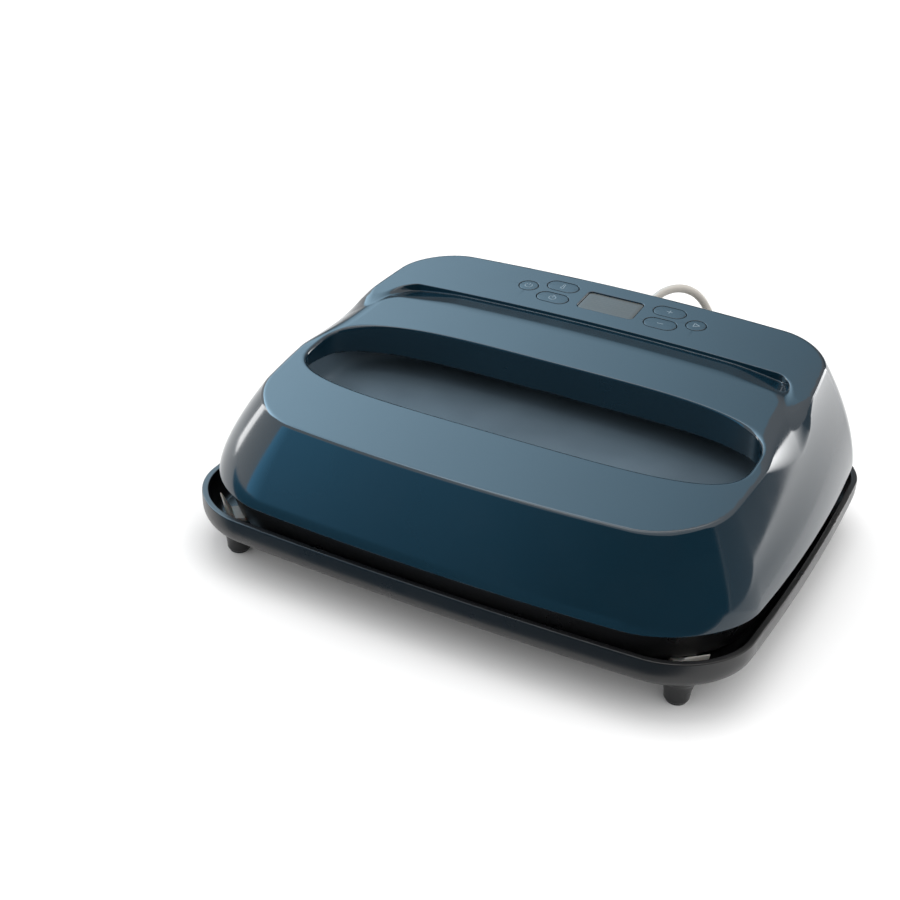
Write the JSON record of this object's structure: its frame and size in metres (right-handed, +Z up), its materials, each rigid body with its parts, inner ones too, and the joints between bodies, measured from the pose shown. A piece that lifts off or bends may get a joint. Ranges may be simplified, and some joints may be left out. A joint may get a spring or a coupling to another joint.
{
  "type": "heat press",
  "caption": "Handheld plate heat press with a grip across its top and a rear control panel, resting on an insulated tray, with its mains lead coiled behind.",
  "frame": {"origin": "on the table, under the centre of the tray", "axes": "+Z up, +X to the right along the long side, +Y to the rear where the controls and the lead are"},
  "size_m": [0.3344, 0.3887, 0.1161],
  "materials": {
    "blue_shell": "high-gloss moulded ABS",
    "button_blue": "satin moulded ABS with engraved symbols",
    "dark_grey_plastic": "satin moulded nylon",
    "black_plastic": "fine-textured heat-resistant plastic",
    "grey_silicone": "matte silicone",
    "black_rubber": "matte rubber",
    "plate_aluminium": "ceramic-coated cast aluminium",
    "heater_foil": "etched foil",
    "glass_wool": "pressed glass fibre",
    "ceramic": "unglazed ceramic",
    "screw_steel": "zinc-plated steel",
    "brass": "bare brass",
    "circuit_board": "glass-epoxy with green solder mask",
    "components": "moulded component bodies",
    "lcd_frame": "moulded frame",
    "lcd_window": "tinted clear lens over a reflective display",
    "lead_insulation": "silicone wire insulation",
    "cord_jacket": "warm grey PVC jacket"
  },
  "bodies": {
    "base": {"tray": "black_plastic", "foot_pads": "black_rubber", "corner_pads": "grey_silicone", "cord_coil": "cord_jacket", "cord_tail": "cord_jacket", "cord_tie": "black_rubber", "plug_body": "cord_jacket", "plug_blades": "brass", "earth_pin": "brass"},
    "press": {"housing_shell": "blue_shell", "handle_well": "dark_grey_plastic", "handle_underside": "dark_grey_plastic", "lower_housing": "black_plastic", "heat_plate": "plate_aluminium", "heating_element": "heater_foil", "insulation_sheet": "glass_wool", "plate_spacers": "ceramic", "plate_screws": "screw_steel", "thermostat": "brass", "thermal_fuse": "screw_steel", "temperature_sensor": "ceramic", "housing_screws": "screw_steel", "power_board": "circuit_board", "power_parts": "components", "control_board": "circuit_board", "board_screws": "screw_steel", "display_module": "lcd_frame", "display_window": "lcd_window", "switch_mat": "grey_silicone", "buzzer": "components", "ribbon_cable": "lead_insulation", "heater_leads": "lead_insulation", "mains_leads": "lead_insulation", "cord_clamp": "black_plastic", "clamp_screws": "screw_steel", "strain_relief": "cord_jacket", "cord": "cord_jacket"},
    "key_power": {"button_power": "button_blue"},
    "key_temperature": {"button_temperature": "button_blue"},
    "key_timer": {"button_timer": "button_blue"},
    "key_plus": {"button_plus": "button_blue"},
    "key_minus": {"button_minus": "button_blue"},
    "key_start": {"button_start": "button_blue"}
  },
  "joints": [
    {"name": "press_lift", "type": "slide", "parent": "base", "child": "press", "axis": [0, 0, 1], "range_m": [0, 0.12]},
    {"name": "power_press", "type": "slide", "parent": "press", "child": "key_power", "axis": [0, 0.1184, -0.993], "range_m": [0, 0.0006], "stiffness_N_per_m": 900, "springref_m": -0.0004},
    {"name": "temperature_press", "type": "slide", "parent": "press", "child": "key_temperature", "axis": [0, 0.1184, -0.993], "range_m": [0, 0.0006], "stiffness_N_per_m": 900, "springref_m": -0.0004},
    {"name": "timer_press", "type": "slide", "parent": "press", "child": "key_timer", "axis": [0, 0.1184, -0.993], "range_m": [0, 0.0006], "stiffness_N_per_m": 900, "springref_m": -0.0004},
    {"name": "plus_press", "type": "slide", "parent": "press", "child": "key_plus", "axis": [0, 0.1184, -0.993], "range_m": [0, 0.0006], "stiffness_N_per_m": 900, "springref_m": -0.0004},
    {"name": "minus_press", "type": "slide", "parent": "press", "child": "key_minus", "axis": [0, 0.1184, -0.993], "range_m": [0, 0.0006], "stiffness_N_per_m": 900, "springref_m": -0.0004},
    {"name": "start_press", "type": "slide", "parent": "press", "child": "key_start", "axis": [0, 0.1184, -0.993], "range_m": [0, 0.0006], "stiffness_N_per_m": 900, "springref_m": -0.0004}
  ]
}
